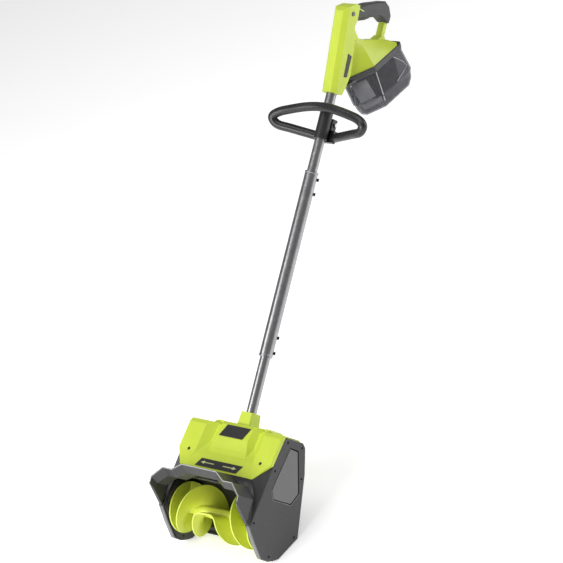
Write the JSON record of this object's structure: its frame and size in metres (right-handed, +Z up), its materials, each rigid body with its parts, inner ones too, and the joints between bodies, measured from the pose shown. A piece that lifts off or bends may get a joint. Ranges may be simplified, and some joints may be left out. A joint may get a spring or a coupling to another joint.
{
  "type": "snow shovel",
  "caption": "Battery-powered push snow shovel: a twin-flight auger in a wide head, a long shaft, a sliding loop handle and a D-grip with a lidded battery bay.",
  "frame": {"origin": "centre of the scraper strip's ground face, in the use pose", "axes": "+Z up from the ground, -Y out of the auger mouth, +Y toward the operator, X along the auger shaft"},
  "size_m": [0.3048, 1.1255, 0.9482],
  "materials": {
    "green_plastic": "moulded yellow-green plastic, satin",
    "dark_plastic": "dark grey moulded plastic, fine texture",
    "grey_plastic": "mid grey moulded plastic, satin",
    "overmould": "soft-touch dark rubber",
    "black_metal": "gunmetal painted tube, glossy",
    "steel": "plain steel",
    "black_screw": "black-finished steel screw",
    "smoke": "smoke-tinted clear plastic, stated as glass for its see-through look",
    "board": "circuit board",
    "belt": "black rubber belt",
    "scraper": "hard-wearing black plastic strip"
  },
  "bodies": {
    "machine": {"side_cover_right": "dark_plastic", "side_cover_left": "dark_plastic", "side_panel_right": "grey_plastic", "side_panel_left": "grey_plastic", "side_cover_screws": "black_screw", "auger_housing": "dark_plastic", "scraper_blade": "scraper", "scraper_screws": "steel", "visor": "dark_plastic", "top_cover": "green_plastic", "cover_screws": "black_screw", "head_badge": "dark_plastic", "width_badge": "dark_plastic", "auger_bearings": "steel", "drive_motor": "steel", "drive_belt": "belt", "lower_tube": "black_metal", "upper_tube": "black_metal", "coupler_tube": "black_metal", "coupler_screws": "black_screw", "power_cable": "belt", "handle_shell_right": "green_plastic", "handle_shell_left": "green_plastic", "grip_overmould": "overmould", "trigger_pin": "steel", "switch_body": "dark_plastic", "lock_spring": "steel", "control_board": "board", "handle_badges": "dark_plastic", "shell_screws": "black_screw", "bay_rim": "dark_plastic", "battery_bell": "green_plastic", "bay_floor": "dark_plastic", "terminal_block": "dark_plastic", "hinge_pin": "steel", "hinge_knuckles": "dark_plastic"},
    "auger_rotor": {"auger": "green_plastic", "auger_shaft": "steel", "auger_pulley": "dark_plastic"},
    "motor_spindle": {"motor_rotor": "steel", "motor_pulley": "steel"},
    "loop_assembly": {"loop_handle": "overmould", "loop_clamp": "dark_plastic", "clamp_bolt": "steel"},
    "clamp_knob": {"clamp_knob": "dark_plastic"},
    "trigger": {"trigger": "dark_plastic"},
    "lock_button": {"lock_button": "grey_plastic"},
    "battery_lid": {"battery_cover": "smoke", "cover_latch": "dark_plastic"},
    "battery": {"battery_pack": "dark_plastic"}
  },
  "joints": [
    {"name": "auger_spin", "type": "hinge", "parent": "machine", "child": "auger_rotor", "pos_m": [0, -0.02339, 0.0868], "axis": [1, 0, 0], "continuous": true},
    {"name": "motor_spin", "type": "hinge", "parent": "machine", "child": "motor_spindle", "pos_m": [0, 0.0605, 0.16102], "axis": [1, 0, 0], "continuous": true},
    {"name": "loop_slide", "type": "slide", "parent": "machine", "child": "loop_assembly", "axis": [0, 0.749, 0.6626], "range_m": [-0.075, 0.015]},
    {"name": "knob_turn", "type": "hinge", "parent": "loop_assembly", "child": "clamp_knob", "pos_m": [0, 0.7235, 0.71554], "axis": [1, 0, 0], "range_deg": [0, 350]},
    {"name": "trigger_pull", "type": "hinge", "parent": "machine", "child": "trigger", "pos_m": [0, 0.93032, 0.91188], "axis": [1, 0, 0], "range_deg": [0, 6], "stiffness_Nm_per_rad": 0.4},
    {"name": "lock_press", "type": "slide", "parent": "machine", "child": "lock_button", "axis": [-1, 0, 0], "range_m": [0, 0.0022], "stiffness_N_per_m": 600},
    {"name": "lid_open", "type": "hinge", "parent": "machine", "child": "battery_lid", "pos_m": [0, 0.8155, 0.77], "axis": [-1, 0, 0], "range_deg": [0, 50]},
    {"name": "battery_slide", "type": "slide", "parent": "machine", "child": "battery", "axis": [0, 0, -1], "range_m": [0, 0.015]}
  ],
  "couplings": [
    {"joint": "motor_spin", "follows": "auger_spin", "ratio": 3}
  ]
}
